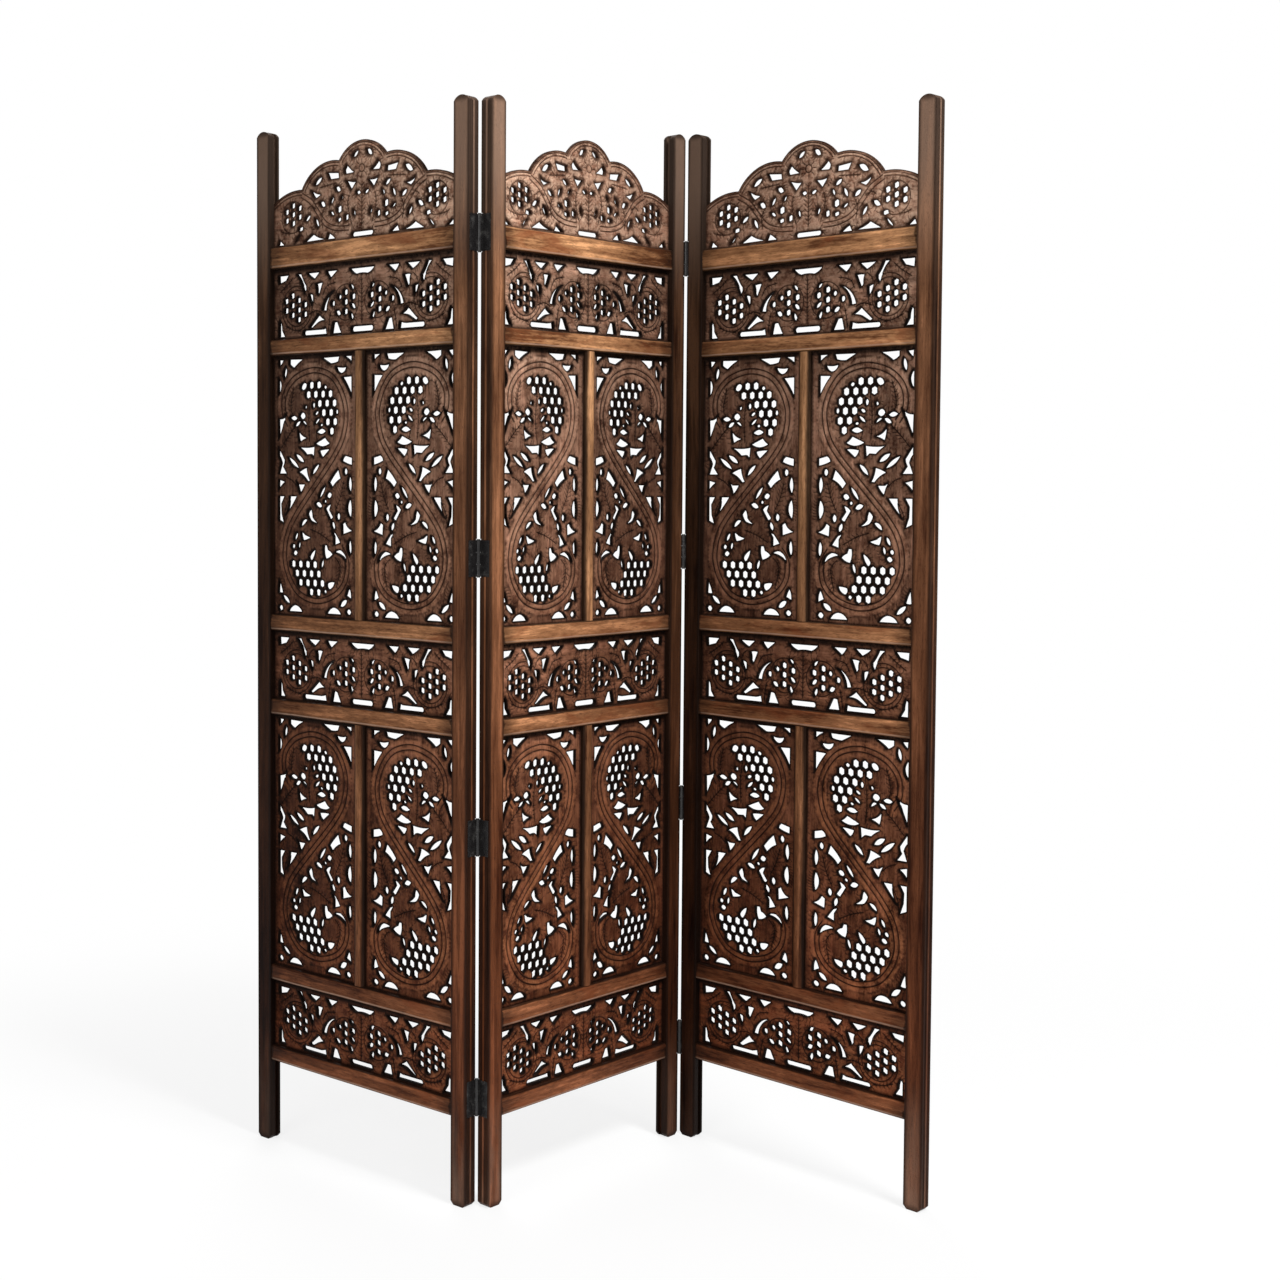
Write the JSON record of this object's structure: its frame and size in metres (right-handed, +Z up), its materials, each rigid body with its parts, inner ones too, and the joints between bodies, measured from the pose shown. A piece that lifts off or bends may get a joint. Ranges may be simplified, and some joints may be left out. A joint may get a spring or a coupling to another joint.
{
  "type": "folding screen",
  "caption": "Three-leaf folding jali screen of carved and pierced hardwood that divides a room and filters light.",
  "frame": {"origin": "The middle of the bounding box in plan, on the floor under the six stile feet, with the screen standing in its zigzag.", "axes": "+Z is up along the stiles, +X runs across the screen to the viewer's right, and -Y points to the viewer in front."},
  "size_m": [1.1408, 0.3878, 1.829],
  "materials": {
    "stile_wood": "dark walnut stain, worn satin",
    "rail_wood": "red-brown stain, rubbed golden on the rounded edges",
    "carved_wood": "red-brown stain, dark in the carved hollows",
    "hinge_iron": "blackened, dull"
  },
  "bodies": {
    "middle_leaf": {"middle_leaf_left_stile": "stile_wood", "middle_leaf_right_stile": "stile_wood", "middle_leaf_bottom_rail": "rail_wood", "middle_leaf_lower_rail": "rail_wood", "middle_leaf_lower_middle_rail": "rail_wood", "middle_leaf_upper_middle_rail": "rail_wood", "middle_leaf_upper_rail": "rail_wood", "middle_leaf_top_rail": "rail_wood", "middle_leaf_mullions": "rail_wood", "middle_leaf_bottom_band": "carved_wood", "middle_leaf_middle_band": "carved_wood", "middle_leaf_top_band": "carved_wood", "middle_leaf_lower_left_lattice": "carved_wood", "middle_leaf_lower_right_lattice": "carved_wood", "middle_leaf_upper_left_lattice": "carved_wood", "middle_leaf_upper_right_lattice": "carved_wood", "middle_leaf_crest": "carved_wood", "middle_leaf_hinge_screws": "hinge_iron", "left_hinges_middle_leaf_plates": "hinge_iron", "left_hinge_pins": "hinge_iron", "right_hinges_middle_leaf_plates": "hinge_iron", "right_hinge_pins": "hinge_iron"},
    "left_leaf": {"left_leaf_left_stile": "stile_wood", "left_leaf_right_stile": "stile_wood", "left_leaf_bottom_rail": "rail_wood", "left_leaf_lower_rail": "rail_wood", "left_leaf_lower_middle_rail": "rail_wood", "left_leaf_upper_middle_rail": "rail_wood", "left_leaf_upper_rail": "rail_wood", "left_leaf_top_rail": "rail_wood", "left_leaf_mullions": "rail_wood", "left_leaf_bottom_band": "carved_wood", "left_leaf_middle_band": "carved_wood", "left_leaf_top_band": "carved_wood", "left_leaf_lower_left_lattice": "carved_wood", "left_leaf_lower_right_lattice": "carved_wood", "left_leaf_upper_left_lattice": "carved_wood", "left_leaf_upper_right_lattice": "carved_wood", "left_leaf_crest": "carved_wood", "left_leaf_hinge_screws": "hinge_iron", "left_hinges_outer_leaf_plates": "hinge_iron"},
    "right_leaf": {"right_leaf_left_stile": "stile_wood", "right_leaf_right_stile": "stile_wood", "right_leaf_bottom_rail": "rail_wood", "right_leaf_lower_rail": "rail_wood", "right_leaf_lower_middle_rail": "rail_wood", "right_leaf_upper_middle_rail": "rail_wood", "right_leaf_upper_rail": "rail_wood", "right_leaf_top_rail": "rail_wood", "right_leaf_mullions": "rail_wood", "right_leaf_bottom_band": "carved_wood", "right_leaf_middle_band": "carved_wood", "right_leaf_top_band": "carved_wood", "right_leaf_lower_left_lattice": "carved_wood", "right_leaf_lower_right_lattice": "carved_wood", "right_leaf_upper_left_lattice": "carved_wood", "right_leaf_upper_right_lattice": "carved_wood", "right_leaf_crest": "carved_wood", "right_leaf_hinge_screws": "hinge_iron", "right_hinges_outer_leaf_plates": "hinge_iron"}
  },
  "joints": [
    {"name": "left_fold", "type": "hinge", "parent": "middle_leaf", "child": "left_leaf", "pos_m": [-0.1782, -0.16111, 0.9], "axis": [0, 0, 1], "range_deg": [-93, 87]},
    {"name": "right_fold", "type": "hinge", "parent": "middle_leaf", "child": "right_leaf", "pos_m": [0.2049, 0.17667, 0.9], "axis": [0, 0, 1], "range_deg": [-88.5, 91.5]}
  ]
}
